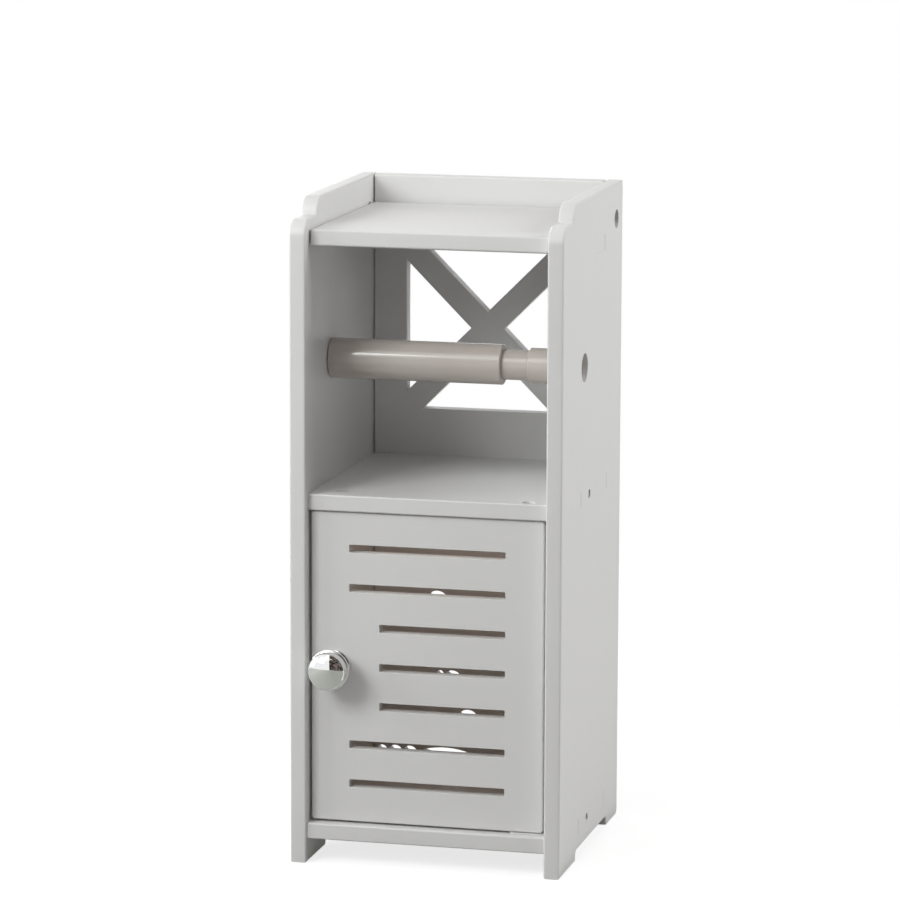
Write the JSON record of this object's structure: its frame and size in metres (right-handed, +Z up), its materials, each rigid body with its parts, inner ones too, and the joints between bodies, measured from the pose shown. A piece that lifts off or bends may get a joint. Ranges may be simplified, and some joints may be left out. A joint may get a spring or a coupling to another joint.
{
  "type": "toilet roll storage cabinet",
  "caption": "Narrow white bathroom cabinet with a lift-up lid, a toilet roll spindle in an open bay with a crossed back, and a slotted cupboard door with a round knob.",
  "frame": {"origin": "on the floor, midway between the outer faces of the side panels and midway between the knob's face and the rear of the cabinet", "axes": "+X to the viewer's right, -Y out of the front towards the user, +Z up"},
  "size_m": [0.17, 0.186, 0.41],
  "materials": {
    "white_board": "satin white foamed board with slightly rounded edges",
    "chrome": "polished",
    "zinc_steel": "zinc plated",
    "nickel_magnet": "satin nickel plate",
    "grey_plastic": "moulded, semi-matt",
    "white_plastic": "moulded, smooth",
    "spindle_plastic": "glossy pale grey moulding"
  },
  "bodies": {
    "cabinet": {"left_side_panel": "white_board", "right_side_panel": "white_board", "bottom_shelf": "white_board", "middle_shelf": "white_board", "stretcher": "white_board", "back_panel": "white_board", "side_screws": "zinc_steel", "back_screws": "zinc_steel", "lid_pins": "grey_plastic", "upper_pivot_pin": "zinc_steel", "lower_pivot_pin": "zinc_steel", "door_glide_pad": "white_plastic", "stop_pin": "nickel_magnet"},
    "lid": {"lid": "white_board"},
    "door": {"door": "white_board", "strike_disc": "zinc_steel", "knob": "chrome", "knob_screw": "zinc_steel"},
    "spindle": {"spindle_sleeve": "spindle_plastic", "spindle_spring": "zinc_steel"},
    "plunger": {"spindle_plunger": "spindle_plastic"}
  },
  "joints": [
    {"name": "lid_hinge", "type": "hinge", "parent": "cabinet", "child": "lid", "pos_m": [0, 0.0743, 0.3875], "axis": [-1, 0, 0], "range_deg": [0, 97]},
    {"name": "door_hinge", "type": "hinge", "parent": "cabinet", "child": "door", "pos_m": [0.062, -0.065, 0.122], "axis": [0, 0, 1], "range_deg": [0, 120]},
    {"name": "spindle_turn", "type": "hinge", "parent": "cabinet", "child": "spindle", "pos_m": [0, -0.016, 0.3065], "axis": [1, 0, 0], "continuous": true},
    {"name": "plunger_slide", "type": "slide", "parent": "spindle", "child": "plunger", "axis": [-1, 0, 0], "range_m": [0, 0.016], "stiffness_N_per_m": 300, "springref_m": -0.02, "deforming": ["spindle_spring"]}
  ]
}
